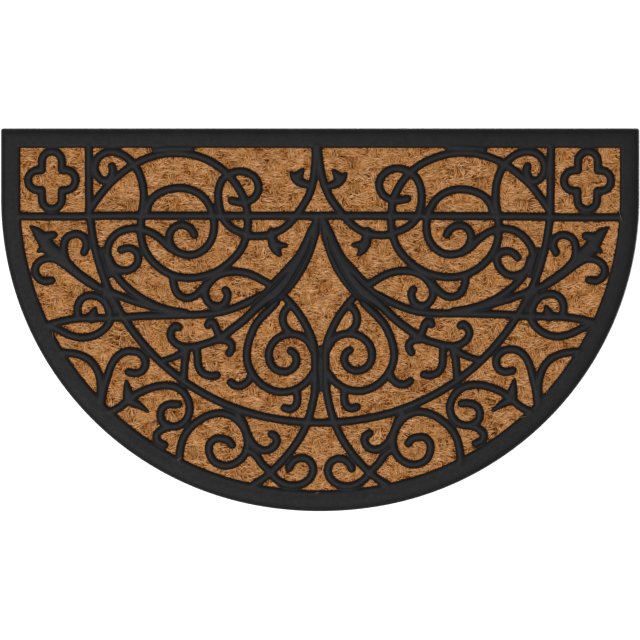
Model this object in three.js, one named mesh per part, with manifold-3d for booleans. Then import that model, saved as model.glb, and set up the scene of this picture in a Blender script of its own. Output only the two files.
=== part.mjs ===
// Half round doormat: a coir panel held in a one-piece black rubber moulding with a scrollwork grille.
// Millimetres, +Z up. The origin is under the middle of the mat, on the floor. The straight edge, which
// lies along the door, is at +Y and the round edge is at -Y.
import * as THREE from "three";
import { mergeVertices } from "three/addons/utils/BufferGeometryUtils.js";
import Module from "manifold-3d";

// Plan of the mat
const WIDTH = 762;
const DEPTH = 457;
const SIDE_RADIUS = 372;
const NOSE_RADIUS = 423;
const CORNER_RADIUS = 2.5;

// Heights above the floor
const BASE_TOP = 2.5;
const COIR_THICKNESS = 4.4;
const GAP = 0.3;
const COIR_BOTTOM = BASE_TOP + GAP;
const COIR_TOP = COIR_BOTTOM + COIR_THICKNESS;
const GRILLE_BOTTOM = COIR_TOP + GAP;
const BORDER_TOP = 9.4;
const RIB_TOP = 10;
const SHOULDER_TOP = 7.6;
const EDGE_HEIGHT = 3.5;

// Distances in from the mat's edge
const SHOULDER_INSET = 2.6;
const BORDER_FLAT_INSET = 8;
const COIR_INSET = 12;
const LIP_TOP_INSET = 21.5;
const LIP_INSET = 22.8;
const RING_ARC_INSET = 106;
const RIB_REACH = 17;

// Section of a rib: its width on the coir, and the share of it that the flat crest keeps
const RIB_WIDTH = 9.2;
const CREST_SHARE = 0.5;

// A free end narrows at these shares of half a width past its last point, to this share of the width
const TIP_STEPS = [0.7, 1];
const TIP_FLAT = 0.25;

// How finely curves are cut into straight steps: the most that a step may leave the curve, turn and span,
// and the shortest last step
const SAG = 1.3;
const MAX_TURN = THREE.MathUtils.degToRad(42);
const MAX_STEP = 45;
const SHORTEST_STEP = 2;
const FINE_STEP = 1;
const ARC_DIVISIONS = 800;
const STEPS = { corner: 3, side: 26, nose: 4, ringSide: 13, ringNose: 2, lobe: 5 };

// Points closer than this are one point, and a cut runs this far past the face that it opens
const WELD = 0.00001;
const OVERRUN = 1;

// The straight bar and posts, how much lower the bar lies outside the posts, and how far the middle spire
// leans to the left at the top
const BAR_V = 104.3;
const BAR_DROP = 0.6;
const BAR_EASE = 11;
const POST_U = 275.5;
const LEAN = 4.8;
const LEAN_REACH = 80;

// The four-lobed ornament in the corner box
const LOBES = { u: 320, v: 61.8, radius: 12, across: 16.5, along: 23.2 };

// How far the right half sits from the mirror image of the left one, near some points of the chart, and the
// reach of each point
const SHIFT_REACH = 30;
const RIGHT_SHIFTS = [
  { u: 0, v: 18, du: -0.3, dv: 0.5 },
  { u: 153, v: 24, du: 0.2, dv: -2.4 },
  { u: 205, v: 36, du: -2.6, dv: -1.1 },
  { u: 268, v: 42, du: -0.1, dv: -0.1 },
  { u: 25, v: 62, du: -0.7, dv: 2.7 },
  { u: 85, v: 53, du: -3.4, dv: -4.5 },
  { u: 168, v: 70, du: 0.4, dv: 4.1 },
  { u: 275, v: 97, du: -0.9, dv: 1.3 },
  { u: 5, v: 112, du: 0, dv: -1.2 },
  { u: 99, v: 124, du: -1.4, dv: -1.4 },
  { u: 156, v: 117, du: 4.5, dv: -0.2 },
  { u: 213, v: 105, du: -1.5, dv: 0.5 },
  { u: 260, v: 144, du: 0.3, dv: 1.3 },
  { u: 329, v: 131, du: -1.8, dv: 1.2 },
  { u: 41, v: 182, du: -1.4, dv: -0.2 },
  { u: 107, v: 171, du: -2.3, dv: -1.3 },
  { u: 157, v: 176, du: -3.1, dv: -0.5 },
  { u: 203, v: 152, du: -1.9, dv: -0.9 },
  { u: 226, v: 193, du: 1.7, dv: -1.6 },
  { u: 329, v: 180, du: -0.1, dv: 0.7 },
  { u: 96, v: 230, du: 0.6, dv: 0.9 },
  { u: 167, v: 236, du: -1.6, dv: -2.7 },
  { u: 286, v: 202, du: 1.5, dv: -3.2 },
  { u: 337, v: 239, du: 4.7, dv: -4.3 },
  { u: 7, v: 262, du: 0.3, dv: -0.7 },
  { u: 83, v: 290, du: 1.3, dv: -1.9 },
  { u: 225, v: 264, du: 3.3, dv: -2.6 },
  { u: 287, v: 268, du: -1.8, dv: 0.3 },
  { u: 11, v: 335, du: 1.9, dv: -0.6 },
  { u: 145, v: 349, du: -2.7, dv: -2.1 },
  { u: 163, v: 300, du: 1.5, dv: 0.5 },
  { u: 204, v: 338, du: 1.1, dv: -1 },
  { u: 263, v: 330, du: -2, dv: -0.9 },
  { u: 91, v: 353, du: 1.6, dv: -1.8 },
  { u: 25, v: 422, du: 1.2, dv: 1.3 },
  { u: 82, v: 422, du: -0.4, dv: -0.7 },
  { u: 168, v: 406, du: 0.2, dv: -2 },
];

// The ribs of one half. A point is [u, v]: u is the distance from the centre line and v the distance from
// the straight edge. width is in mm, or a list from the rib's start to its end. tip says how the far end
// stops: "round" is a free end, and "cut" runs into another rib or the border. A row with a side is built
// on that side only: 1 is the right and -1 the left.
const W = RIB_WIDTH;
const RIBS = [
  { name: "great loop, upper", width: W, tip: "cut",
    path: [[274.9, 97.1], [265.9, 84.1], [252, 67], [238, 54.5], [222.2, 43], [205.4, 35.3], [188.1, 30.6],
      [170, 29.4], [152.1, 31.5], [135.1, 37.2], [118.6, 47], [105.7, 59.8], [96, 73.3], [89, 88.4],
      [86.3, 106]] },
  { name: "great loop, lower", width: W, tip: "cut",
    path: [[86, 104], [87, 123], [93.1, 142], [105, 157], [121.9, 169.8], [139.9, 176.4], [157, 178.4],
      [174.3, 175.7], [191.1, 166.7], [204.6, 152.7], [212.4, 135.5], [214.1, 119.1], [212.8, 103]] },
  { name: "great loop, crown web", width: [6, 8, 6], tip: "cut", path: [[198, 25], [176, 24], [153, 24]] },
  { name: "great loop, corner curl", width: W, tip: "round",
    path: [[213.7, 105], [210.5, 86], [211.2, 69.2], [215.9, 53.4], [224.4, 40.2], [236, 31.2],
      [249, 27.8], [261.1, 31.6], [268.3, 42], [267.4, 53.2], [260.3, 61.6], [252.7, 61.8], [248.3, 55],
      [247.4, 47.7], [248.5, 45]] },
  { name: "arch with spiral", width: W, tip: "round",
    path: [[207.2, 98.5], [202.6, 86.7], [194.1, 78.4], [182.5, 73.3], [168, 71], [153.7, 73.3],
      [142.1, 79.7], [133.3, 90], [127.9, 103], [126.3, 117], [128.9, 131.1], [136.4, 142.6],
      [147.9, 149.8], [160, 150.8], [171.9, 146.4], [179.1, 136.1], [179.1, 124.5], [172.2, 116.9],
      [163.8, 115.2], [156.2, 118.2], [151.4, 123.4], [150, 127]] },
  { name: "scroll", side: -1, width: W, tip: "round",
    path: [[169.3, 148.1], [179.4, 142.3], [189.8, 132.2], [202, 124], [216, 119.7], [230, 120.2],
      [242.4, 125.4], [251.3, 135.9], [253.7, 149.7], [248.9, 161.9], [238, 168.9], [226.2, 168.2],
      [218, 160.6], [217.4, 150.2], [223.7, 143.7], [230.8, 142.9], [237.4, 144.8]] },
  { name: "scroll, right half", side: 1, width: W, tip: "round",
    path: [[169, 149], [179.1, 143], [189.8, 132.2], [201.8, 123.8], [214.9, 119.4], [233, 121.5],
      [246.7, 132.1], [254.1, 147], [253.5, 159.7], [246.4, 169.6], [233, 176.4], [222.5, 174.6],
      [213.5, 164.8], [212.1, 154.9], [216.1, 148.9], [222.7, 146.4], [230.3, 148], [236, 154.3]] },
  { name: "scroll web", width: [6, 7, 9, 9], tip: "cut",
    path: [[260.3, 144.2], [257.3, 156.2], [253.1, 169.3], [251.3, 174.1]] },
  { name: "scroll tail", width: W, tip: "cut",
    path: [[251.3, 155.1], [246.2, 169.1], [238.1, 181.6], [226.1, 193.2], [210.3, 204.3], [193.6, 212.5],
      [177.4, 217.3], [160.3, 220.1]] },
  { name: "spire and sweep", width: W, tip: "cut",
    path: [[1.4, 18], [2.7, 39.9], [4.4, 51.7], [7.3, 65.9], [12.1, 79], [19.7, 91.8], [29.4, 104.8],
      [41.4, 117.6], [56.4, 125.6], [71.6, 128.5], [85.9, 128.3]] },
  { name: "sweep loop", width: W, tip: "round",
    path: [[83.6, 127], [98.4, 122.5], [109.4, 115.3], [116.9, 104.6], [120.6, 90.8], [121.4, 76.1],
      [117.3, 62.5], [108.6, 54.8], [96.9, 51.2], [85, 53.4], [76.2, 60.6], [73.1, 71], [77, 81],
      [85, 86.6], [95, 88.1], [105.5, 85.9]] },
  { name: "spire leaf, outer", width: [8, 9, 11.5, 10, 4], tip: "cut",
    path: [[7.7, 67.8], [16.7, 66.3], [24.7, 62.3], [30.2, 56.8], [33.7, 51.8]] },
  { name: "spire leaf, inner", width: [12, 9, 3.5], tip: "cut",
    path: [[25.7, 59.2], [22.2, 53.7], [17.5, 47.9]] },
  { name: "spire leaf, web", width: [12, 7], tip: "cut", path: [[24.6, 61.3], [26.1, 53.8]] },
  { name: "sweep leaf, outer", width: [10, 11, 13, 11, 5], tip: "cut",
    path: [[57.6, 123.4], [56.8, 132.4], [54.4, 140.4], [50.6, 147.4], [47.1, 151.9]] },
  { name: "sweep leaf, inner", width: [10, 8, 5], tip: "cut",
    path: [[54.5, 137.5], [46.5, 139.5], [39, 139.5]] },
  { name: "trunk", width: [9, 11, 15, 16.5, 17.8, 19.5, 22, 24, 25, 25, 23], tip: "cut",
    path: [[3.4, 105.1], [4.6, 112.1], [7.5, 121.1], [10.8, 131.2], [14.7, 141.3], [19.3, 151.3],
      [25.1, 161.2], [32.7, 171.3], [41, 181.5], [50, 191], [56, 198]] },
  { name: "lower branch", width: W, tip: "cut",
    path: [[52.9, 191.5], [68.7, 198.6], [84.2, 206.3], [99.6, 213.3], [117.4, 218.7], [139.8, 221.8],
      [164.9, 222.5], [189.9, 223.2], [215, 223.9], [240, 225.7], [265, 226.3], [287.9, 226.8],
      [305.8, 229.6], [321.8, 233.8], [336.9, 239.4]] },
  { name: "upper branch", width: W, tip: "round",
    path: [[55.8, 188.1], [67.6, 181.8], [79.8, 175.3], [93.2, 171.5], [107.1, 171.2], [120.3, 174.7],
      [130.6, 182.5], [136.9, 194], [134.7, 205.2], [125.7, 212.2], [115.5, 209.9], [110.7, 202.1],
      [110.7, 195.6], [113, 192.8]] },
  { name: "hanging loop", width: W, tip: "cut",
    path: [[175.9, 176], [174.3, 187.3], [169.6, 197.7], [160.3, 202.4], [149.6, 200], [141.9, 193],
      [134.6, 184.3]] },
  { name: "lily", width: [2, 12, 17, 17, 14, 11, W, W, W], tip: "cut",
    path: [[346.3, 116.3], [338.2, 122.8], [330.4, 132.4], [323.6, 142.3], [313.5, 150.4], [304, 158.8],
      [292.4, 169.2], [281.1, 178], [268.9, 186.2]] },
  { name: "lily lobe", width: [10, 9.5, 9.5], tip: "round",
    path: [[331.2, 129.1], [323.2, 127.6], [318.2, 127.1]] },
  { name: "lily barb", width: [12, 9, 4], tip: "cut",
    path: [[324.3, 137.7], [331.3, 143.2], [336.3, 146.7]] },
  { name: "lily hook, right", width: W, tip: "round",
    path: [[298.7, 164.1], [304.6, 152.7], [305.8, 140.5], [302.9, 131.1], [296.1, 126.8], [288.9, 126],
      [281.6, 130.1], [278.6, 138.7], [281.6, 147.6]] },
  { name: "lily hook, left", width: W, tip: "round",
    path: [[178.3, 217.7], [195.3, 213.9], [210.3, 209.6], [225.4, 204.9], [240.4, 199.2], [255.1, 193.3],
      [270, 187.5], [282, 180], [294.1, 171.1], [306.2, 161.6], [317.2, 155.6], [326.7, 155.3],
      [335.5, 159.3], [340, 167.4], [337.6, 176.5], [329.8, 182.2], [320.4, 181.3]] },
  { name: "eye over its lens", width: W, tip: "cut",
    path: [[288.8, 224.2], [289.2, 212.5], [285.3, 204], [276.5, 199.5], [265.6, 200.6], [257, 206.8],
      [251.8, 217.9], [251.1, 230.9], [259.3, 241], [270.8, 247.4], [284, 249.6], [297.2, 247.1],
      [310.5, 241], [322.5, 235.1]] },
  { name: "eye web", width: [9, 10, 10], tip: "cut",
    path: [[256.5, 196.2], [251.7, 206.9], [247.5, 216.5]] },
  { name: "eye thorn", width: [14, 3], tip: "cut", path: [[272.3, 225.4], [267.8, 213.4]] },
  { name: "side arc", width: W, tip: "cut",
    path: [[320.3, 267.6], [300.3, 267.8], [287.5, 270], [275.3, 276.1], [267.1, 286.1], [262.7, 298],
      [261.6, 311], [262.6, 330]] },
  { name: "side curl", width: W, tip: "round",
    path: [[261.1, 330], [258.4, 312.2], [254.4, 298.4], [249.8, 284.5], [243.6, 273.9], [234.8, 267.2],
      [225.1, 265.6], [215.5, 268], [209.5, 274.4], [208.4, 282.9], [213.4, 290.3], [221.6, 292.3],
      [228.5, 290.5]] },
  { name: "thorned scroll", width: W, tip: "round",
    path: [[254, 340], [240, 333.1], [224.7, 321.1], [212.5, 313.8], [199.8, 309], [187, 306.6],
      [174.2, 307.9], [164.4, 313.5], [157.7, 323.2], [155.5, 335], [158.9, 346.2], [166.9, 353.9],
      [178.4, 355.5], [188.1, 350.1], [190.5, 340.4], [186.9, 332.4], [178.8, 329], [169.2, 329]] },
  { name: "upper thorn", width: [14, 9, 3], tip: "cut",
    path: [[228.3, 320.5], [229.8, 311.5], [231.3, 300.5]] },
  { name: "lower thorn", width: [11, 8, 2.5], tip: "cut",
    path: [[226.1, 325.4], [215.1, 330.9], [204.6, 338.4]] },
  { name: "thorned scroll tail", width: W, tip: "round",
    path: [[179.1, 355.9], [188.3, 359.1], [195, 365.6], [193.8, 373], [185.7, 377.7]] },
  { name: "floor spiral", width: W, tip: "round",
    path: [[168, 406], [167, 385], [163.3, 370.1], [155.6, 358.1], [145, 348.9], [132, 342], [118, 339.8],
      [104.5, 343.7], [93.8, 353], [87.4, 366.1], [86.8, 380.7], [93.1, 393.1], [104.3, 400.9],
      [115.9, 402.2], [126.9, 397], [132.3, 386.1], [131.6, 376.4], [124.9, 370.3], [116.7, 370.2],
      [109.1, 372.5], [105.1, 377.5]] },
  { name: "floor hook", width: W, tip: "round",
    path: [[98, 341], [91, 353], [85.8, 366.3], [78.6, 377.8], [67.7, 384.1], [57.4, 381.8], [51.7, 373.6],
      [53.6, 367], [58, 364.8]] },
  { name: "floor leg", width: W, tip: "cut",
    path: [[87.9, 382.9], [77.3, 389.2], [69.8, 399.8], [61.1, 408]] },
  { name: "middle stem", width: W, tip: "cut",
    path: [[46.3, 197.3], [36.3, 207.3], [27.5, 217.9], [20.1, 229.2], [13.7, 241.1], [8.6, 254],
      [6.3, 268], [5.8, 285], [5.8, 301], [6.9, 318.1], [10.5, 335.1], [15, 350.1], [20.5, 362.8],
      [28.2, 375.6], [37.5, 388], [47.1, 398.9], [56.8, 408.6], [67.1, 417.4], [79.7, 425.5]] },
  { name: "foot hook", width: W, tip: "round",
    path: [[59.7, 409.3], [51.5, 419], [39, 425.3], [24.4, 425.2], [12.8, 418.5], [7.9, 407.2],
      [11.4, 397.7], [19.1, 393.5], [27.4, 394.3], [33.9, 399.3], [37, 405.5]] },
  { name: "middle branch", width: [13, 10.5, 10, 10, 10, 10], tip: "cut",
    path: [[59, 199.8], [74.4, 212.2], [84.2, 222.2], [94.6, 231.7], [104.8, 239.4], [117, 249.2]] },
  { name: "branch curl, right", width: W, tip: "round",
    path: [[125.2, 252.1], [113.6, 252.7], [106.5, 255.9], [105.3, 262.3], [108.4, 268.1]] },
  { name: "branch curl, top", width: W, tip: "round",
    path: [[119.4, 248.2], [123.7, 239.4], [126.4, 232.6], [131.2, 230.7], [134, 234.6]] },
  { name: "branch curl, left", width: W, tip: "round",
    path: [[121.1, 251.5], [136.3, 256.7], [149.7, 260.2], [162.9, 260.7], [172.9, 256], [178.3, 248.1],
      [177.1, 240.2], [171.9, 235.5], [168.5, 237.3]] },
  { name: "branch leg", width: W, tip: "cut", path: [[158, 261], [161, 275], [162, 288], [163, 300]] },
  { name: "branch foot", width: W, tip: "round",
    path: [[147.8, 259.9], [146.1, 271.9], [145.5, 282.2], [140.5, 291.5], [131.5, 295.2], [123, 294.5]] },
  { name: "branch stay", width: [9, 8, 7], tip: "cut",
    path: [[160.2, 264.5], [172.2, 272], [192.2, 278.5]] },
  { name: "teardrop", width: W, tip: "cut",
    path: [[52.5, 207.5], [60, 215.5], [68, 223.5], [75.5, 232.5], [81, 243], [86, 258], [87.2, 275.2],
      [82.8, 289.4], [74.7, 300.8], [63.5, 309.6], [50.2, 314.3], [38, 314], [26.5, 310.1], [16.2, 302.8],
      [8.1, 291.9]] },
  { name: "teardrop hook", width: W, tip: "round",
    path: [[81.2, 291.4], [85.5, 301.1], [93.3, 306.7], [101.7, 306.6], [106.7, 302.8]] },
  { name: "teardrop tail", width: W, tip: "round",
    path: [[28.7, 311], [27, 321], [28.6, 330.1], [35.4, 335.1], [42.3, 333.4]] },
  { name: "teardrop spiral", width: W, tip: "round",
    path: [[8.5, 263.6], [14.2, 253.8], [23, 247.6], [34.1, 245.3], [46.3, 248], [55.8, 255.6],
      [60.9, 267], [59.5, 279.4], [52.4, 287.8], [41.6, 290.3], [32.3, 286.2], [28.1, 277.1],
      [30.1, 269.1], [35.1, 265.4]] },
  { name: "stem web", width: [3, 6, 7, 6, 3], tip: "cut",
    path: [[0, 261], [0, 274], [0, 287], [0, 300], [0, 313]] },
  { name: "teardrop link", width: W, tip: "cut",
    path: [[35.1, 209.8], [42.7, 218.7], [44.6, 227.2], [42.3, 236], [36.2, 243]] },
  { name: "bar", width: W, tip: "cut",
    path: [[WIDTH / 2 - RIB_REACH, BAR_V + BAR_DROP], [POST_U + BAR_EASE, BAR_V + BAR_DROP],
      [POST_U - BAR_EASE, BAR_V], [0, BAR_V]] },
  { name: "post", width: W, tip: "cut", path: [[POST_U + 0.5, 18], [POST_U, BAR_V]] },
];

const wasm = await Module();
wasm.setup();

// A closed mesh as a solid that can be joined and cut
function solid(geometry) {
  const bare = geometry.clone();
  bare.deleteAttribute("normal");
  bare.deleteAttribute("uv");
  const merged = mergeVertices(bare, WELD);
  const mesh = new wasm.Mesh({
    numProp: 3,
    vertProperties: new Float32Array(merged.attributes.position.array),
    triVerts: new Uint32Array(merged.index.array),
  });
  return new wasm.Manifold(mesh);
}

// The solid as a flat shaded three.js geometry
function toGeometry(body) {
  const mesh = body.getMesh();
  const geometry = new THREE.BufferGeometry();
  geometry.setAttribute("position", new THREE.BufferAttribute(mesh.vertProperties, 3));
  geometry.setIndex(new THREE.BufferAttribute(mesh.triVerts, 1));
  geometry.computeVertexNormals();
  return geometry;
}

// A closed skin through convex rings of points, with a fan over the first and the last ring
function loft(rings) {
  const size = rings[0].length;
  const positions = rings.flat().flatMap((p) => [p.x, p.y, p.z]);
  const index = [];
  for (let r = 0; r < rings.length - 1; r += 1) {
    for (let i = 0; i < size; i += 1) {
      const a = r * size + i;
      const b = r * size + ((i + 1) % size);
      index.push(a, b, b + size, a, b + size, a + size);
    }
  }
  const last = (rings.length - 1) * size;
  for (let i = 1; i < size - 1; i += 1) {
    index.push(0, i + 1, i);
    index.push(last, last + i, last + i + 1);
  }
  const geometry = new THREE.BufferGeometry();
  geometry.setAttribute("position", new THREE.Float32BufferAttribute(positions, 3));
  geometry.setIndex(index);
  return geometry;
}

// The arcs of the round edge at a distance in from it: the side arc and the flatter nose, right half, as
// points of [u, v] from the side down to the centre line
function roundEdge(inset, sideSteps, noseSteps) {
  const noseV = DEPTH - NOSE_RADIUS;
  const sideU = WIDTH / 2 - SIDE_RADIUS;
  const sideV = noseV + Math.sqrt((NOSE_RADIUS - SIDE_RADIUS) ** 2 - sideU ** 2);
  const meet = Math.atan2(sideV - noseV, sideU);
  const side = new THREE.EllipseCurve(sideU, sideV, SIDE_RADIUS - inset, SIDE_RADIUS - inset, 0, meet);
  const nose = new THREE.EllipseCurve(
    0, noseV, NOSE_RADIUS - inset, NOSE_RADIUS - inset, meet, Math.PI / 2);
  return [...side.getPoints(sideSteps), ...nose.getPoints(noseSteps).slice(1)];
}

// The mat's outline at a distance in from its edge and at one height, anticlockwise from above
function outline(inset, z) {
  const radius = CORNER_RADIUS;
  const u = WIDTH / 2 - inset - radius;
  const corner = new THREE.EllipseCurve(u, inset + radius, radius, radius, -Math.PI / 2, 0);
  const half = [...corner.getPoints(STEPS.corner), ...roundEdge(inset, STEPS.side, STEPS.nose)];
  const left = half.map((p) => new THREE.Vector3(-p.x, DEPTH / 2 - p.y, z));
  const right = half.slice(0, -1).reverse().map((p) => new THREE.Vector3(p.x, DEPTH / 2 - p.y, z));
  return [...left, ...right];
}

// How far a point of the right half sits from the mirror image of the left one
function rightShift(u, v) {
  const sum = new THREE.Vector2();
  let total = 0;
  for (const row of RIGHT_SHIFTS) {
    const away = Math.hypot(row.u - u, row.v - v) / SHIFT_REACH;
    const near = Math.exp(-away * away / 2);
    sum.addScaledVector(new THREE.Vector2(row.du, row.dv), near);
    total += near;
  }
  return sum.divideScalar(total);
}

// A point of the chart in the model: side is 1 on the right and -1 on the left
function place(side, u, v) {
  const at = new THREE.Vector2(u, v);
  if (side === 1) {
    at.add(rightShift(u, v));
  }
  const lean = LEAN * Math.max(0, 1 - at.y / BAR_V) * Math.max(0, 1 - at.x / LEAN_REACH);
  return new THREE.Vector2(side * at.x - lean, DEPTH / 2 - at.y);
}

// A width at a share of the way along: one number, or a list spread evenly along the rib
function widthAt(width, share) {
  if (!Array.isArray(width)) {
    return width;
  }
  const at = share * (width.length - 1);
  const low = Math.min(Math.floor(at), width.length - 2);
  return THREE.MathUtils.lerp(width[low], width[low + 1], at - low);
}

// The section of a rib, with a flat underside, sloping sides and a flat crest
function ribSection(point, along, width) {
  const half = width / 2;
  const across = new THREE.Vector2(-along.y, along.x);
  const corner = (offset, z) => {
    const p = point.clone().addScaledVector(across, offset);
    return new THREE.Vector3(p.x, p.y, z);
  };
  return [
    corner(-half, GRILLE_BOTTOM),
    corner(half, GRILLE_BOTTOM),
    corner(half * CREST_SHARE, RIB_TOP),
    corner(-half * CREST_SHARE, RIB_TOP),
  ];
}

// A rib through points of the plan, its end rounded off where tip says so
function ribThrough(points, width, tip) {
  const lengths = [0];
  for (let i = 1; i < points.length; i += 1) {
    lengths.push(lengths[i - 1] + points[i].distanceTo(points[i - 1]));
  }
  const directions = points.map((_, i) => {
    const ahead = points[Math.min(i + 1, points.length - 1)];
    const behind = points[Math.max(i - 1, 0)];
    return ahead.clone().sub(behind).normalize();
  });
  const widths = lengths.map((length) => widthAt(width, length / lengths.at(-1)));
  const rings = points.map((p, i) => ribSection(p, directions[i], widths[i]));
  if (tip === "round") {
    const endWidth = widths.at(-1);
    for (const share of TIP_STEPS) {
      const point = points.at(-1).clone().addScaledVector(directions.at(-1), share * endWidth / 2);
      const narrowed = endWidth * Math.max(TIP_FLAT, Math.sqrt(1 - share * share));
      rings.push(ribSection(point, directions.at(-1), narrowed));
    }
  }
  return solid(loft(rings));
}

// The points of a curve that a rib's sections need: closer together where it turns more. An arc leaves its
// chord by an eighth of the chord times the turn.
function spread(curve) {
  const fine = curve.getSpacedPoints(Math.ceil(curve.getLength() / FINE_STEP));
  const kept = [fine[0]];
  let turn = 0;
  for (let i = 1; i < fine.length - 1; i += 1) {
    const before = fine[i].clone().sub(fine[i - 1]);
    const after = fine[i + 1].clone().sub(fine[i]);
    turn += before.angleTo(after);
    const step = fine[i].distanceTo(kept.at(-1));
    const sag = (step * turn) / 8;
    if (sag > SAG || turn > MAX_TURN || step > MAX_STEP) {
      kept.push(fine[i]);
      turn = 0;
    }
  }
  const end = fine.at(-1);
  if (kept.length > 1 && kept.at(-1).distanceTo(end) < SHORTEST_STEP) {
    kept.pop();
  }
  return [...kept, end].map((p) => new THREE.Vector2(p.x, p.y));
}

// One rib of the table on one side of the mat
function rib(row, side) {
  const via = row.path.map(([u, v]) => place(side, u, v)).map((p) => new THREE.Vector3(p.x, p.y, 0));
  const curve = new THREE.CatmullRomCurve3(via, false, "centripetal");
  curve.arcLengthDivisions = ARC_DIVISIONS;
  return ribThrough(spread(curve), row.width, row.tip);
}

// The ribs of one half: a row with a side is built on that side only
function ribsOf(side) {
  return RIBS.filter((row) => (row.side ?? side) === side).map((row) => rib(row, side));
}

// The arc inside the grille, from the foot of one post round to the foot of the other
function ringArc() {
  const round = roundEdge(RING_ARC_INSET, STEPS.ringSide, STEPS.ringNose);
  const below = round.filter((p) => p.y > BAR_V + RIB_WIDTH);
  const right = [new THREE.Vector2(POST_U, BAR_V), ...below];
  const left = right.slice(0, -1).reverse().map((p) => new THREE.Vector2(-p.x, p.y));
  const points = [...right, ...left].map((p) => new THREE.Vector2(p.x, DEPTH / 2 - p.y));
  return ribThrough(points, RIB_WIDTH, "cut");
}

// The corner ornament: four lobes at right angles, each a straight-sided loop that ends at the notches
function lobes(side) {
  const { u, v, radius, across, along } = LOBES;
  const middle = new THREE.Vector2();
  return [across, along, across, along].map((reach, quarter) => {
    const arc = new THREE.EllipseCurve(reach, 0, radius, radius, -Math.PI / 2, Math.PI / 2);
    const notch = radius - RIB_WIDTH / 2;
    const start = new THREE.Vector2(notch, -radius);
    const end = new THREE.Vector2(notch, radius);
    const loop = [start, ...arc.getPoints(STEPS.lobe), end];
    const turned = loop.map((p) => p.rotateAround(middle, quarter * Math.PI / 2));
    return ribThrough(turned.map((p) => place(side, u + p.x, v + p.y)), RIB_WIDTH, "cut");
  });
}

// Everything that stands on the coir, cut off where it has run a little way onto the border
function grille() {
  const ribs = [-1, 1].flatMap((side) => [...ribsOf(side), ...lobes(side)]);
  const all = wasm.Manifold.union([...ribs, ringArc()]);
  const reach = solid(loft([outline(RIB_REACH, 0), outline(RIB_REACH, RIB_TOP + OVERRUN)]));
  return all.intersect(reach);
}

// The tray: the plain back, the border that falls off to its edge, and a slot for the coir under the
// border's inner lip
function tray() {
  const body = solid(loft([outline(0, 0), outline(0, EDGE_HEIGHT), outline(SHOULDER_INSET, SHOULDER_TOP),
    outline(BORDER_FLAT_INSET, BORDER_TOP)]));
  const slot = solid(loft([outline(COIR_INSET - GAP, BASE_TOP), outline(COIR_INSET - GAP, GRILLE_BOTTOM)]));
  const window = solid(loft([outline(LIP_INSET, BASE_TOP + OVERRUN), outline(LIP_INSET, GRILLE_BOTTOM),
    outline(LIP_TOP_INSET, BORDER_TOP), outline(LIP_TOP_INSET, BORDER_TOP + OVERRUN)]));
  return body.subtract(slot).subtract(window);
}

function rubberMoulding() {
  const material = new THREE.MeshStandardMaterial({ color: 0x2c2c2e, roughness: 0.6, metalness: 0 });
  const mesh = new THREE.Mesh(toGeometry(tray().add(grille())), material);
  mesh.name = "rubber_moulding";
  return mesh;
}

function coirPanel() {
  const material = new THREE.MeshStandardMaterial({ color: 0xb48255, roughness: 0.95, metalness: 0 });
  const slab = loft([outline(COIR_INSET, COIR_BOTTOM), outline(COIR_INSET, COIR_TOP)]);
  const mesh = new THREE.Mesh(slab, material);
  mesh.name = "coir_panel";
  return mesh;
}

const doormat = new THREE.Group();
doormat.add(rubberMoulding(), coirPanel());

export default doormat;
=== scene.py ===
# Half round doormat: woven coir held in a black rubber moulding with a scrollwork grille over it.
# The plan is charted in millimetres, as in the part's source: u is the distance from the centre line and v
# the distance from the straight edge. The model is in metres, with the straight edge at +Y and +Z up.
import math

import bpy
import numpy as np
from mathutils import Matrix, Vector, geometry


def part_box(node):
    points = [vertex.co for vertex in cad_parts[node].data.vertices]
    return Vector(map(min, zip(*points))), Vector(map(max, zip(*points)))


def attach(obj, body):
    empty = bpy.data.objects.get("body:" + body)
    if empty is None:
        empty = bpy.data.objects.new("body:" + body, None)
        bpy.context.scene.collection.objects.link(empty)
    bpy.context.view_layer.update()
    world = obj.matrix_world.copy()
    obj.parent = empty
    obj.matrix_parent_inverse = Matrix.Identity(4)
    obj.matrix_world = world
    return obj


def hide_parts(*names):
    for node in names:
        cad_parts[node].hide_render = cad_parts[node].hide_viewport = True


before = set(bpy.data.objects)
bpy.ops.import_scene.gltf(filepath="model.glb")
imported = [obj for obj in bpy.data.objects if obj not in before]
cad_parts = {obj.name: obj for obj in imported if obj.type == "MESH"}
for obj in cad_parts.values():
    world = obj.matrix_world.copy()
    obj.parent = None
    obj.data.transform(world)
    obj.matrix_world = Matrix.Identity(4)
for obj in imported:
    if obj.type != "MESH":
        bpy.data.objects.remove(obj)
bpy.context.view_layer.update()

# Every random draw comes from one generator, in the order of this script
SEED = 18
random = np.random.default_rng(SEED)

# The sizes that the frame gives, in millimetres
MM = 0.001
rubber_low, rubber_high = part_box("rubber_moulding")
coir_low, coir_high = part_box("coir_panel")
WIDTH = (rubber_high.x - rubber_low.x) / MM
DEPTH = (rubber_high.y - rubber_low.y) / MM
RIB_TOP = rubber_high.z / MM
COIR_INSET = (coir_low.x - rubber_low.x) / MM
COIR_BOTTOM = coir_low.z / MM
COIR_TOP = coir_high.z / MM

# Plan of the mat
SIDE_RADIUS = 372
NOSE_RADIUS = 423
NOSE_V = DEPTH - NOSE_RADIUS
SIDE_U = WIDTH / 2 - SIDE_RADIUS
SIDE_V = NOSE_V + math.sqrt((NOSE_RADIUS - SIDE_RADIUS) ** 2 - SIDE_U ** 2)
CORNER_RADIUS = 2.5
LIP_INSET = 22.8
RING_ARC_INSET = 106
RIB_REACH = 17
SEAM_INSET = 17.9
NOSE_WIDER = 2

# Heights above the floor, and the gap between coir and rubber
GAP = 0.3
BASE_TOP = COIR_BOTTOM - GAP
GRILLE_BOTTOM = COIR_TOP + GAP
SHOULDER = 8.9
BORDER_TOP = 9.4

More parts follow.
